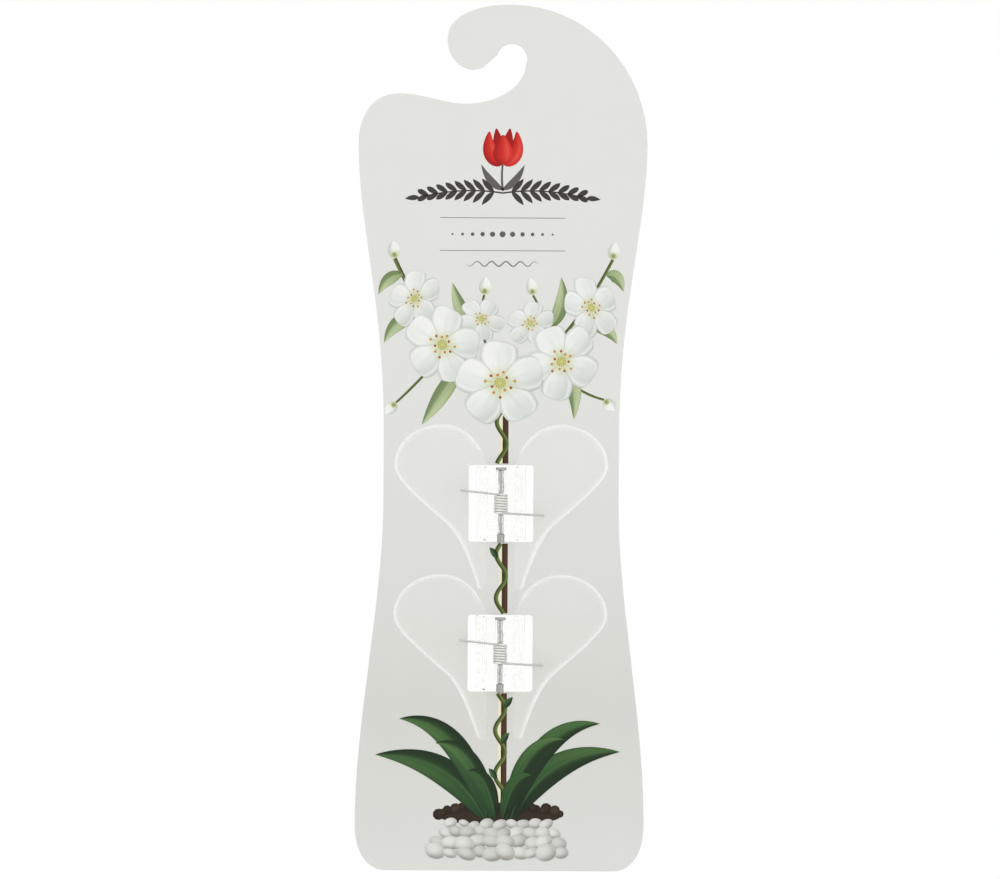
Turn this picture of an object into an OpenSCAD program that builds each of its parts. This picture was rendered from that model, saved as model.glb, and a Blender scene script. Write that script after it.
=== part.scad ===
// Two clear spring clips for orchid stems, worn on a hang card.
// The card hangs upright by its hook. X is to the right, Y is away from the viewer, Z is up.
// The origin is the centre of the hook's round notch, halfway through the card.

/* [Card] */
// Thickness of the card
card_t = 0.6; // [0.4:0.1:1]
// Half of the card's width at its shoulders
shoulder_half = 36.1; // [33:0.1:42]
// Half of the card's width at its waist
waist_half = 29.4; // [28:0.1:32]
// Half of the card's width at its foot
foot_half = 36.1; // [33:0.1:42]
// Depth of the widest line of the shoulders below the hook
shoulder_drop = 21.5; // [19:0.5:26]
// Depth of the upper end of the narrow waist below the hook
waist_top_drop = 97.7; // [80:0.1:100]
// Depth of the lower end of the narrow waist below the hook
waist_end_drop = 110.2; // [105:0.1:125]
// Depth of the widest line of the foot below the hook
foot_drop = 191.2; // [180:0.1:195]
// Depth of the card's lower edge below the hook
card_drop = 202.9; // [198:0.1:215]
// Width of each rounded corner at the foot
foot_corner_w = 8; // [3:0.5:14]
// How late the shoulders run in to the waist, 1 is even
shoulder_ease = 1.3; // [1:0.05:1.6]
// Fullness of the rounded head, left shoulder and foot corners, 2 is an ellipse
fullness = 2.25; // [2:0.05:2.6]

/* [Hook] */
// Radius of the round notch that hangs on a peg
hook_r = 3.8; // [3:0.1:4.2]
// Distance of the card's middle line to the left of the hook
hook_offset = 2.1; // [0:0.1:4]
// Height of the card's top above the hook
head_rise = 13.6; // [11:0.1:18]
// Reach of the hook's tongue to the left of the hook
tongue_reach = 16.1; // [15.5:0.1:18]
// Height of the tongue's widest line above the hook
tongue_rise = 4.8; // [3.5:0.1:6]
// Distance of the tongue's lowest point to the left of the hook
tongue_mid = 9.5; // [9:0.1:10]
// Depth of the tongue's lowest point below the hook
tongue_drop = 2.7; // [2:0.1:3.2]
// Radius of the tongue's rounded end
tongue_end_r = 4.3; // [4:0.1:4.6]
// Distance of the mouth's lowest point to the left of the hook
mouth_mid = 11.5; // [10:0.1:13]
// Depth of the mouth's lowest point below the hook
mouth_drop = 11.2; // [9.5:0.1:13]
// Depth of the left shoulder's hump below the hook
hump_drop = 8.7; // [7:0.1:9]
// Width of the left shoulder's rounded side
hump_w = 10.4; // [8:0.1:12]

/* [Wings] */
// Height of the hinge middle of the upper clip below the hook
upper_clip_drop = 111.1; // [108:0.1:120]
// Gap between the upper clip's tips and the lower clip's wings
clip_gap = 1; // [0.6:0.1:6]
// Thickness of a wing
wing_t = 1.2; // [0.8:0.1:1.8]
// Reach of a wing to the side of the hinge
wing_reach = 26.7; // [24:0.1:30]
// Height of a wing's top above the middle of the hinge
wing_rise = 19.8; // [17:0.1:23]
// Depth of a wing's tip below the middle of the hinge
wing_drop = 21.5; // [19:0.1:24]
// Distance of a wing's inner edge from the hinge's axis
wing_inner = 3.3; // [2.6:0.1:3.8]
// Distance of the lobe's highest point from the hinge's axis
lobe_x = 14.8; // [13:0.1:17]
// Height of the lobe's widest point above the middle of the hinge
lobe_z = 9.6; // [7:0.1:11]
// Height at which the inner edge starts to round over
inner_z = 6.5; // [5:0.1:8]
// Distance from the hinge's axis of the point where a flank turns inward
flank_x = 13.2; // [12:0.1:15]
// Depth of that point below the middle of the hinge
flank_drop = 5.5; // [4:0.1:7]
// Slope of the flank at that point
flank_angle = 42; // [36:1:48]
// Slope of the tip's outer side away from upright
tip_angle = 17.5; // [12:0.5:22]
// Radius of a wing's rounded tip
tip_r = 1.3; // [1:0.1:1.6]
// Gap between the wings and the card
wing_gap = 0.4; // [0.3:0.1:1]

/* [Hinge] */
// Diameter of the hinge pin
pin_d = 1.2; // [0.8:0.05:1.4]
// Radial play of the pin in the knuckles
pin_play = 0.05; // [0.02:0.01:0.1]
// Wall of a knuckle round the pin
knuckle_wall = 0.65; // [0.5:0.05:0.8]
// Distance of the hinge's axis in front of the wings
axis_lift = 0.3; // [0:0.1:0.6]
// Gap between neighbours along the pin
stack_gap = 0.15; // [0.08:0.01:0.25]
// Length of the knuckle next above the spring
upper_inner_len = 2.45; // [2:0.05:3]
// Length of the topmost knuckle
upper_outer_len = 2.7; // [2:0.05:3]
// Length of the knuckle next below the spring
lower_inner_len = 2.05; // [1.8:0.05:3]
// Length of the lowest knuckle
lower_outer_len = 2.3; // [2:0.05:3]
// Thickness of the pin's flat top head
pin_head_t = 0.7; // [0.4:0.1:1]
// Diameter of the pin's thick lower end
pin_foot_d = 1.9; // [1.6:0.1:2.4]
// Length of the pin's thick lower end
pin_foot_len = 2.2; // [1.5:0.1:2.6]

/* [Spring] */
// Diameter of the spring wire
wire_d = 0.6; // [0.4:0.05:0.65]
// Radius of the coil, to the middle of the wire
coil_r = 1.5; // [1.4:0.05:1.6]
// Length of the coil, from wire middle to wire middle
coil_len = 4.6; // [4.4:0.1:5]
// Number of full turns
coil_turns = 4; // [3:1:4]
// Gap between the coil and the knuckles next to it
coil_gap = 0.3; // [0.2:0.05:0.5]
// Reach of the left leg from the hinge's axis
left_leg_reach = 10.2; // [8:0.1:14]
// Rise of the left leg along its length
left_leg_rise = 1; // [0.5:0.1:1.4]
// Reach of the right leg from the hinge's axis
right_leg_reach = 10.8; // [8:0.1:14]
// Fall of the right leg along its length
right_leg_fall = 0.6; // [0:0.1:1]
// Gap between a leg's end and the wing it presses on
leg_gap = 0.3; // [0.2:0.05:0.5]

/* [Jaws] */
// Inner radius of the closed jaws, for a stem and its stake together
grip_r = 5; // [4:0.1:5.5]
// Wall of a jaw
jaw_t = 1.2; // [0.8:0.1:1.5]
// Height of the jaws
jaw_h = 18.4; // [14:0.1:22]
// Room between the card's back and what the jaws hold
stem_room = 1.1; // [0.8:0.1:3]
// Gap between the closed jaws' tips
tip_gap = 0.3; // [0.2:0.05:0.6]
// Play of the jaws in their window, above and below
window_play = 0.4; // [0.3:0.05:1]
// Room at each side of the window for the jaws to open
window_side = 1.9; // [1.5:0.1:3]
// Radius of the window's corners
window_r = 0.8; // [0.3:0.1:2]

/* [Hidden] */

// Steps in a quarter of a curve, and how far joined shapes and cuts reach past each other
steps = 16;
merge = 0.15;
round_fn = 64;
clear_plastic = [0.86, 0.9, 0.9, 0.45];
steel = [0.62, 0.63, 0.6];

// Height of a wing's upper edge over the tip of the clip above, and the two clips' heights
clip_x = -hook_offset;
lobe_w = lobe_x - wing_inner;
over_tip = inner_z + (wing_rise - inner_z) * sqrt(1 - pow(1 - 2 * tip_r / lobe_w, 2));
upper_z = -upper_clip_drop;
lower_z = upper_z - wing_drop - over_tip - clip_gap;

// Places from front to back
wing_back = -card_t / 2 - wing_gap;
axis_y = wing_back - wing_t - axis_lift;

// In a clip's own frame its hinge axis is x = 0, y = 0
wing_front = axis_lift;
card_back = card_t / 2 - axis_y;
knuckle_r = pin_d / 2 + pin_play + knuckle_wall;
grip_y = card_back + stem_room + grip_r;
jaw_r = grip_r + jaw_t;
neck_outer = wing_inner + jaw_t;
neck_end = grip_y - sqrt(jaw_r * jaw_r - neck_outer * neck_outer) + merge;
window_w = 2 * (jaw_r + window_side);
window_h = jaw_h + 2 * window_play;

// The stack along the pin, upward and downward from the coil
coil_edge = (coil_len + wire_d) / 2;
upper_inner_z = coil_edge + coil_gap;
upper_outer_z = upper_inner_z + upper_inner_len + stack_gap;
head_z = upper_outer_z + upper_outer_len + stack_gap;
lower_inner_z = -coil_edge - coil_gap - lower_inner_len;
lower_outer_z = lower_inner_z - stack_gap - lower_outer_len;
foot_z = lower_outer_z - stack_gap - pin_foot_len;

// A quarter or less of a superellipse, from one angle to another, without its first point
function rounded(cx, cz, rx, rz, from, to, full = 2) =
    [for (i = [1 : steps]) let (a = from + (to - from) * i / steps, c = cos(a), s = sin(a))
        [cx + rx * sign(c) * pow(abs(c), 2 / full), cz + rz * sign(s) * pow(abs(s), 2 / full)]];
// A cubic curve without its first point
function curve(a, b, c, d) =
    [for (i = [1 : steps]) let (t = i / steps, s = 1 - t)
        s * s * s * a + 3 * s * s * t * b + 3 * s * t * t * c + t * t * t * d];
function eased(a, b, t) = a + (b - a) * t * t * (3 - 2 * t);
function reversed(list) = [for (i = [len(list) - 1 : -1 : 0]) list[i]];
function toward(angle) = [cos(angle), sin(angle)];

// Half of the card's width at a depth below the hook
function half_width(drop) =
    drop < waist_top_drop
        ? eased(waist_half, shoulder_half,
            pow((waist_top_drop - drop) / (waist_top_drop - shoulder_drop), shoulder_ease))
        : drop < waist_end_drop
            ? waist_half
            : eased(waist_half, foot_half, (drop - waist_end_drop) / (foot_drop - waist_end_drop));
// One side of the card between the shoulder and the foot, side is 1 on the right and -1 on the left
side_steps = 3 * steps;
function card_side(side) =
    [for (i = [1 : side_steps - 1])
        let (drop = shoulder_drop + (foot_drop - shoulder_drop) * i / side_steps)
        [clip_x + side * half_width(drop), -drop]];

// Places on the card's outline
right_edge = clip_x + shoulder_half;
hump_x = clip_x - shoulder_half + hump_w;
foot_mid = foot_half - foot_corner_w;
foot_round = card_drop - foot_drop;
// The outline meets the notch's circle at two angles, a little inside it, and the circle then cuts it
notch_reach = 0.96 * hook_r;
mouth_meets = -15;
tongue_meets = 160;
mouth_side = notch_reach * toward(mouth_meets);
notch_left = notch_reach * toward(tongue_meets);
// Angle at which the tongue's rounded end turns into its straight side
tongue_turn = 320;

// The outline runs clockwise from the top of the head
card_line = concat(
    rounded(0, -shoulder_drop, right_edge, head_rise + shoulder_drop, 90, 0),
    card_side(1),
    [[clip_x + foot_half, -foot_drop]],
    rounded(clip_x + foot_mid, -foot_drop, foot_corner_w, foot_round, 0, -90, fullness),
    [[clip_x - foot_mid, -card_drop]],
    rounded(clip_x - foot_mid, -foot_drop, foot_corner_w, foot_round, 270, 180, fullness),
    reversed(card_side(-1)),
    [[clip_x - shoulder_half, -shoulder_drop]],
    rounded(hump_x, -shoulder_drop, hump_w, shoulder_drop - hump_drop, 180, 90, fullness),
    [for (i = [1 : steps]) let (t = i / steps)
        [hump_x + (-mouth_mid - hump_x) * t, eased(-hump_drop, -mouth_drop, t)]],
    rounded(-mouth_mid, mouth_side[1], mouth_mid + mouth_side[0], mouth_drop + mouth_side[1], 270, 360),
    [notch_left],
    [[-tongue_mid, tongue_end_r - tongue_drop] + tongue_end_r * toward(tongue_turn)],
    rounded(-tongue_mid, tongue_end_r - tongue_drop, tongue_end_r, tongue_end_r, tongue_turn, 270),
    rounded(-tongue_mid, tongue_rise, tongue_reach - tongue_mid, tongue_rise + tongue_drop, 270, 180),
    rounded(0, tongue_rise, tongue_reach, head_rise - tongue_rise, 180, 90, fullness));

// Stands a flat outline up, with its front face at y = 0 and its back at y = depth
module upright(depth) {
    translate([0, depth, 0]) rotate([90, 0, 0]) linear_extrude(depth) children();
}

module window_cut(z) {
    flat = [window_w / 2 - window_r, window_h / 2 - window_r];
    translate([clip_x, -card_t, z]) upright(2 * card_t) {
        square([window_w, 2 * flat[1]], center = true);
        square([2 * flat[0], window_h], center = true);
        for (x = [-1, 1], y = [-1, 1])
            translate([x * flat[0], y * flat[1]]) circle(window_r, $fn = round_fn);
    }
}

module card() {
    color([0.89, 0.89, 0.875]) difference() {
        translate([0, -card_t / 2, 0]) upright(card_t) polygon(card_line);
        translate([0, card_t, 0]) rotate([90, 0, 0]) cylinder(r = hook_r, h = 2 * card_t, $fn = round_fn);
        window_cut(upper_z);
        window_cut(lower_z);
    }
}

// Outline of the right wing in the clip's own frame, clockwise from the foot of its inner edge
tip_mid = [wing_inner + tip_r, tip_r - wing_drop];
tip_side = tip_mid + [tip_r, 0];
lobe_side = [wing_reach, lobe_z];
flank_turn = [flank_x, -flank_drop];
// How far the flank's two curves run on in each end's direction
lobe_pull = 4;
flank_pull = 9;
flank_turn_pull = 3.5;
tip_pull = 6;
wing_line = concat(
    [[wing_inner, tip_mid[1]], [wing_inner, inner_z]],
    rounded(lobe_x, inner_z, lobe_w, wing_rise - inner_z, 180, 90),
    rounded(lobe_x, lobe_z, wing_reach - lobe_x, wing_rise - lobe_z, 90, 0),
    curve(lobe_side, lobe_side - [0, lobe_pull],
        flank_turn + flank_pull * toward(flank_angle), flank_turn),
    curve(flank_turn, flank_turn - flank_turn_pull * toward(flank_angle),
        tip_side + tip_pull * toward(90 - tip_angle), tip_side),
    [for (i = [1 : steps - 1]) tip_mid + tip_r * toward(-180 * i / steps)]);

// One jaw: a straight neck through the window, then half of the ring that grips
module jaw() {
    reach = 2 * jaw_r;
    cut_h = jaw_h + 2 * merge;
    translate([0, grip_y, -jaw_h / 2]) difference() {
        cylinder(r = jaw_r, h = jaw_h, $fn = round_fn);
        translate([0, 0, -merge]) {
            cylinder(r = grip_r, h = cut_h, $fn = round_fn);
            translate([tip_gap / 2 - reach, -reach, 0]) cube([reach, 2 * reach, cut_h]);
            translate([wing_inner - reach, -reach, 0]) cube([reach, reach, cut_h]);
        }
    }
    translate([wing_inner, wing_front, -jaw_h / 2])
        cube([jaw_t, neck_end - wing_front, jaw_h]);
}

// A round knuckle on the pin and the arm that joins it to the wing
module knuckle(z, len) {
    translate([0, 0, z]) {
        cylinder(r = knuckle_r, h = len, $fn = round_fn);
        translate([0, wing_front, 0]) cube([wing_inner + merge, wing_t, len]);
    }
}

// A right half, with its knuckles given as [height, length]
module half(knuckles) {
    color(clear_plastic) difference() {
        union() {
            translate([0, wing_front, 0]) upright(wing_t) polygon(wing_line);
            jaw();
            for (k = knuckles) knuckle(k[0], k[1]);
        }
        translate([0, 0, -jaw_h]) cylinder(r = pin_d / 2 + pin_play, h = 2 * jaw_h, $fn = round_fn);
    }
}
module right_wing() {
    half([[upper_outer_z, upper_outer_len], [lower_inner_z, lower_inner_len]]);
}
module left_wing() {
    mirror([1, 0, 0]) half([[upper_inner_z, upper_inner_len], [lower_outer_z, lower_outer_len]]);
}

module hinge_pin() {
    color(steel) {
        translate([0, 0, foot_z]) cylinder(d = pin_foot_d, h = pin_foot_len, $fn = round_fn);
        translate([0, 0, foot_z]) cylinder(d = pin_d, h = head_z + pin_head_t - foot_z, $fn = round_fn);
        translate([0, 0, head_z]) cylinder(r = knuckle_r, h = pin_head_t, $fn = round_fn);
    }
}

// The spring's wire: the right leg's end, the coil from its foot up, the left leg's end
turn_steps = 8;
wire_sides = 6;
leg_steps = 4;
leg_y = wing_front - leg_gap - wire_d / 2;
right_end = [right_leg_reach, leg_y, -coil_len / 2 - right_leg_fall];
left_end = [-left_leg_reach, leg_y, coil_len / 2 + left_leg_rise];
coil_steps = turn_steps * coil_turns;
coil = [for (i = [0 : coil_steps]) let (a = 360 * i / turn_steps)
    [-coil_r * sin(a), -coil_r * cos(a), coil_len * (i / coil_steps - 0.5)]];
function leg(from, to) = [for (i = [0 : leg_steps - 1]) from + (to - from) * i / leg_steps];
wire = concat(leg(right_end, coil[0]), coil, reversed(leg(left_end, coil[coil_steps])));
last = len(wire) - 1;

function unit(v) = v / norm(v);
function along(i) = unit(wire[min(i + 1, last)] - wire[max(i - 1, 0)]);
function ring(i) =
    let (t = along(i), up = unit([0, 0, 1] - t[2] * t), side = cross(t, up))
    [for (j = [0 : wire_sides - 1]) let (b = 360 * j / wire_sides)
        wire[i] + wire_d / 2 * (cos(b) * up + sin(b) * side)];
function corner(i, j) = i * wire_sides + j % wire_sides;

// The least gap of the wire to itself, between points three or more steps apart
wire_gap = min([for (i = [0 : last - 3], j = [i + 3 : last]) norm(wire[i] - wire[j])]) - wire_d;
echo("least gap of the spring's wire to itself, mm", wire_gap);

module spring() {
    color(steel) polyhedron(
        points = [for (i = [0 : last], p = ring(i)) p],
        faces = concat(
            [for (j = [1 : wire_sides - 2]) [0, j, j + 1]],
            [for (j = [1 : wire_sides - 2]) [corner(last, 0), corner(last, j + 1), corner(last, j)]],
            [for (i = [0 : last - 1], j = [0 : wire_sides - 1])
                [corner(i, j), corner(i + 1, j), corner(i + 1, j + 1)]],
            [for (i = [0 : last - 1], j = [0 : wire_sides - 1])
                [corner(i, j), corner(i + 1, j + 1), corner(i, j + 1)]]));
}

// Puts a clip's piece on its hinge axis at a height
module at_clip(z) {
    translate([clip_x, axis_y, z]) children();
}

card();
at_clip(upper_z) left_wing();  // upper_left_wing
at_clip(upper_z) right_wing();  // upper_right_wing
at_clip(upper_z) hinge_pin();  // upper_hinge_pin
at_clip(upper_z) spring();  // upper_spring
at_clip(lower_z) left_wing();  // lower_left_wing
at_clip(lower_z) right_wing();  // lower_right_wing
at_clip(lower_z) hinge_pin();  // lower_hinge_pin
at_clip(lower_z) spring();  // lower_spring
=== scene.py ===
"""Looks of two clear spring clips for plant stems, worn on their hang card.

The frame is in metres: x to the right, y away from the viewer, z up, with the origin in the middle of
the hook's round notch. Shapes are worked out in millimetres and become metres when a mesh is made.
"""
import math

import bmesh
import bpy
import numpy as np
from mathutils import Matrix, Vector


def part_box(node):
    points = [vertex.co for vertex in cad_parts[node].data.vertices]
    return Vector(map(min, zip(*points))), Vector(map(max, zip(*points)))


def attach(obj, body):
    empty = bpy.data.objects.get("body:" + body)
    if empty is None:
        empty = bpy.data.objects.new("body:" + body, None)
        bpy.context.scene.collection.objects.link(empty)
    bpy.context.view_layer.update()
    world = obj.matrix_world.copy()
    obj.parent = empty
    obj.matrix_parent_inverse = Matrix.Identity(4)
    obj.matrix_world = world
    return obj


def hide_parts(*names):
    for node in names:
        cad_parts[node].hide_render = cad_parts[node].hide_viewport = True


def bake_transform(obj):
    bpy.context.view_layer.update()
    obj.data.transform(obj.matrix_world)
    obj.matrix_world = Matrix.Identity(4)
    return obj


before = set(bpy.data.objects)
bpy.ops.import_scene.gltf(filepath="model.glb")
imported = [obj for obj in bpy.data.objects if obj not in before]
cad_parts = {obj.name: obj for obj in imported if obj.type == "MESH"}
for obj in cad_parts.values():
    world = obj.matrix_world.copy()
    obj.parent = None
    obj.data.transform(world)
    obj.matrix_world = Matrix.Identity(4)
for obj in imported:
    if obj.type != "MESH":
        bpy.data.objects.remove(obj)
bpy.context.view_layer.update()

MM = 0.001


def box_mm(node):
    """Lowest and highest corner of a CAD node, in millimetres."""
    low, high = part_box(node)
    return np.array(low) / MM, np.array(high) / MM


# Places on the card, in millimetres
_, CARD_FRONT, CARD_FOOT = box_mm("card")[0]
CARD_EDGE_R = 0.1

# The clips: the hinge axis is the middle of the pin, whose head ends this far above the clip's middle
CLIPS = ("upper", "lower")
PIN_TOP = 9.05
PIN_FOOT = -9.75


def hinge_of(clip):
    """Middle of a clip on its hinge axis, in millimetres."""
    low, high = box_mm(clip + "_hinge_pin")
    return np.array([(low[0] + high[0]) / 2, (low[1] + high[1]) / 2, high[2] - PIN_TOP])


HINGE = {clip: hinge_of(clip) for clip in CLIPS}
MIDDLE_X = HINGE["upper"][0]

# A wing in its clip's own frame, where the hinge axis is x = 0, y = 0
WING_FRONT = 0.3
WING_T = 1.2
WING_INNER = 3.3
WING_RISE = 19.8
WING_REACH = 26.7
LOBE_X = 14.8
LOBE_Z = 9.6
INNER_Z = 6.5
LOBE_PULL = 4
FLANK = np.array([13.2, -5.5])
FLANK_ANGLE = 42
FLANK_PULL = 9
FLANK_TURN_PULL = 3.5
TIP_R = 1.3
TIP_MID = np.array([WING_INNER + TIP_R, -20.2])
TIP_ANGLE = 17.5
TIP_PULL = 6
EDGE_W = 1.1
EDGE_W_FLANK = 1.5
EDGE_W_INNER = 0.3
EDGE_GROWS = 2.6
EDGE_BACK_R = 0.3
FRONT_DEPTH = WING_T - EDGE_BACK_R
LOW_FLANK_Z = -10.3
LOW_FLANK_SPAN = 5.0

# The hinge stack: each knuckle's lower and upper end, and the arms that join them to the plate
KNUCKLES = {"right": ((5.5, 8.2), (-4.95, -2.9)), "left": ((2.9, 5.35), (-7.4, -5.1))}
KNUCKLE_R = 1.3
BORE_R = 0.65
PIN_R = 0.6
HEAD_LOW = 8.35
FOOT_HIGH = -7.55
FOOT_R = 0.95
FOOT_EDGE = 0.15
TURNED_EDGE = 0.12
ARM_START = 0.1
ARM_PAST_EDGE = 1.4
ARM_SUNK = 0.06
ARM_SHORT = 0.05
ARM_EDGE = 0.15

# The jaws behind the card. The ring runs from where the neck meets it, and a little on, to its tip
JAW_H = 18.4
JAW_T = 1.2
GRIP_R = 5.0
GRIP_Y = 8.6
JAW_CORNER = 0.4
NECK_SUNK = 0.5
NECK_TO_RING = 1.2
RING_START_PAST = 12
RING_END = 87.4
TIP_ROUND = 0.12
TIP_SHRINK = np.array([0.8, 0.8, 0.985])

# The spring
WIRE_R = 0.3
COIL_WIRE_R = 0.32
COIL_R = 1.48
COIL_LEN = 4.6
TURNS = 7
TURN_ROWS = 24
LEG_ROWS = 39
LEG_END_SHARE = 0.7
LEFT_END = np.array([-10.2, -0.3, 3.3])
RIGHT_END = np.array([10.8, -0.3, -2.9])


def seen(red, green, blue):
    """A colour as it looks on screen, 0 to 255 a channel, as the linear colour that a shader takes."""
    c = np.array([red, green, blue]) / 255
    linear = np.where(c <= 0.04045, c / 12.92, ((c + 0.055) / 1.055) ** 2.4)
    return linear


def rgba(colour):
    return (*[float(c) for c in colour], 1.0)


def eased(t):
    """Runs smoothly from 0 to 1 as t does."""
    t = np.clip(t, 0, 1)
    return t * t * (3 - 2 * t)


def unit(v):
    return v / np.linalg.norm(v, axis=-1, keepdims=True)


def toward(degrees):
    """Unit steps at these angles, as x and z."""
    a = np.radians(degrees)
    return np.stack([np.cos(a), np.sin(a)], -1)


# Meshes

CORNER_ANGLES = np.linspace(0, 90, 5)
LEAST_R = 0.02


def loft_faces(rings, around, start=0):
    """Quads between rings of points, each joined all round, with the first and last ring as caps."""
    i, j = np.meshgrid(np.arange(rings - 1), np.arange(around), indexing="ij")
    a = start + i * around + j
    b = start + i * around + (j + 1) % around
    quads = np.stack([a, b, b + around, a + around], -1).reshape(-1, 4).tolist()
    first = (start + np.arange(around))[::-1].tolist()
    last = (start + (rings - 1) * around + np.arange(around)).tolist()
    return quads + [first, last]


def make_piece(name, points, faces, materials, smooth_under=30, uv=None, ink=None):
    """A mesh object from points in millimetres. Edges sharper than smooth_under degrees stay sharp."""
    mesh = bpy.data.meshes.new(name)
    mesh.from_pydata((np.asarray(points) * MM).tolist(), [], faces)
    if uv is not None:
        corners = np.empty(len(mesh.loops), np.int32)
        mesh.loops.foreach_get("vertex_index", corners)
        mesh.uv_layers.new(name="Surface").uv.foreach_set("vector", uv[corners].ravel())
    if ink is not None:
        layer = mesh.attributes.new("ink", "FLOAT_COLOR", "POINT")
        layer.data.foreach_set("color", np.c_[ink, np.ones(len(ink))].astype(np.float32).ravel())
    return finish_mesh(name, mesh, materials, smooth_under)


def finish_mesh(name, mesh, materials, smooth_under=30):
    """Turns the mesh's faces outward, sets its shading and puts it in the scene."""
    bm = bmesh.new()
    bm.from_mesh(mesh)
    bmesh.ops.recalc_face_normals(bm, faces=bm.faces)
    bm.to_mesh(mesh)
    bm.free()
    if smooth_under:
        mesh.shade_smooth()
        mesh.set_sharp_from_angle(angle=math.radians(smooth_under))
    piece = bpy.data.objects.new(name, mesh)
    for m in materials:
        mesh.materials.append(m)
    bpy.context.scene.collection.objects.link(piece)
    return piece


def loft(name, rings, materials, **options):
    """A closed body from an array of rings of points."""
    count, around, _ = rings.shape
    return make_piece(name, rings.reshape(-1, 3), loft_faces(count, around), materials, **options)


def turned(profile, around=48):
    """Rings about the z axis from a profile of (radius, height) rows."""
    profile = np.asarray(profile, float)
    a = np.linspace(0, 2 * np.pi, around, endpoint=False)
    radius, height = profile[:, :1], profile[:, 1:]
    return np.stack([radius * np.cos(a), radius * np.sin(a), height + 0 * a], -1)


def rod_profile(radius, low, high, edge):
    """(radius, height) rows of a rod whose ends have rounded edges."""
    a = np.radians([0, 30, 60, 90])
    foot = np.c_[radius - edge + edge * np.sin(a), low + edge - edge * np.cos(a)]
    head = np.c_[radius - edge + edge * np.cos(a), high - edge + edge * np.sin(a)]
    return np.r_[[[radius / 2, low]], foot, head, [[radius / 2, high]]]


def round_corners():
    """The four quarter turns of a rounded rectangle as unit steps, and the corner that each is part of."""
    quarter = toward(CORNER_ANGLES)
    turns = [quarter, quarter[::-1] * [-1, 1], quarter * [-1, -1], quarter[::-1] * [1, -1]]
    return np.concatenate(turns), np.repeat([[1, 1], [-1, 1], [-1, -1], [1, -1]], len(quarter), axis=0)


def rounded_box(low, high, edge, axis):
    """Rings of a box along an axis. Its section is a rectangle with round corners. Its ends are rounded."""
    low, high = np.asarray(low, float), np.asarray(high, float)
    others = [i for i in range(3) if i != axis]
    corner, side = round_corners()
    a = np.radians(CORNER_ANGLES)
    middle, half = (low + high)[others] / 2, (high - low)[others] / 2
    drawn_in = np.r_[edge * 0.9, edge * (1 - np.sin(a)), edge * (1 - np.sin(a[::-1])), edge * 0.9]
    drawn_in[0] += edge / 2
    drawn_in[-1] += edge / 2
    lift = edge * (1 - np.cos(a))
    along = np.r_[low[axis], low[axis] + lift, high[axis] - lift[::-1], high[axis]]
    rings = np.empty((len(along), len(corner), 3))
    for k, (inset, place) in enumerate(zip(drawn_in, along)):
        r = max(edge - inset, LEAST_R)
        flat = middle + side * (half - inset - r) + corner * r
        rings[k][:, others] = flat
        rings[k][:, axis] = place
    return rings


def wing_line(fine=40):
    """Outline of the right wing as rows of x and z: the inner edge, two quarter ellipses over the lobe, two
    cubic curves down the flank and a round tip."""
    def quarter(cx, cz, rx, rz, start, end):
        return [cx, cz] + toward(np.linspace(start, end, fine + 1)[1:]) * [rx, rz]

    def cubic(a, b, c, d):
        t = np.linspace(0, 1, fine + 1)[1:, None]
        s = 1 - t
        return s ** 3 * a + 3 * s * s * t * b + 3 * s * t * t * c + t ** 3 * d

    inner = np.c_[np.full(fine, WING_INNER), np.linspace(TIP_MID[1], INNER_Z, fine)]
    lobe_side = np.array([WING_REACH, LOBE_Z])
    tip_side = TIP_MID + [TIP_R, 0]
    return np.concatenate([
        inner,
        quarter(LOBE_X, INNER_Z, LOBE_X - WING_INNER, WING_RISE - INNER_Z, 180, 90),
        quarter(LOBE_X, LOBE_Z, WING_REACH - LOBE_X, WING_RISE - LOBE_Z, 90, 0),
        cubic(lobe_side, lobe_side - [0, LOBE_PULL], FLANK + FLANK_PULL * toward(FLANK_ANGLE), FLANK),
        cubic(FLANK, FLANK - FLANK_TURN_PULL * toward(FLANK_ANGLE),
              tip_side + TIP_PULL * toward(90 - TIP_ANGLE), tip_side),
        TIP_MID + TIP_R * toward(np.linspace(0, -180, fine // 2)[1:-1])])


def edge_growth(x):
    """0 at the wing's straight inner edge, and 1 from a few millimetres further out."""
    return eased((x - WING_INNER) / EDGE_GROWS)


def wing_rings():
    """The wing's plate: its outline, drawn inward and moved in depth along the section of its edge. The front
    of the edge is a quarter ellipse, broadest on the low flank and narrow beside the hinge, and the back a
    small round."""
    line = wing_line()
    step = unit(np.roll(line, -1, 0) - line)
    tangent = unit(step + np.roll(step, 1, 0))
    inward = np.c_[tangent[:, 1], -tangent[:, 0]]
    low = np.exp(-((line[:, 1] - LOW_FLANK_Z) / LOW_FLANK_SPAN) ** 2)
    full = EDGE_W + (EDGE_W_FLANK - EDGE_W) * low
    width = EDGE_W_INNER + (full - EDGE_W_INNER) * edge_growth(line[:, 0])
    a = np.radians(np.linspace(0, 90, 9))[:, None]
    front = (1 - np.sin(a)) * width
    back = np.broadcast_to(EDGE_BACK_R * (1 - np.cos(a[2::2])), (4, len(line)))
    inset = np.concatenate([[width + 0.1], front, back, np.full((1, len(line)), EDGE_BACK_R + 0.2)])
    deep = np.r_[0, FRONT_DEPTH * (1 - np.cos(a[:, 0])),
                 FRONT_DEPTH + EDGE_BACK_R * np.sin(a[2::2, 0]), WING_T]
    flat = line[None] + inset[..., None] * inward[None]
    depth = np.broadcast_to(WING_FRONT + deep[:, None], flat.shape[:2])
    return np.stack([flat[..., 0], depth, flat[..., 1]], -1)


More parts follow.
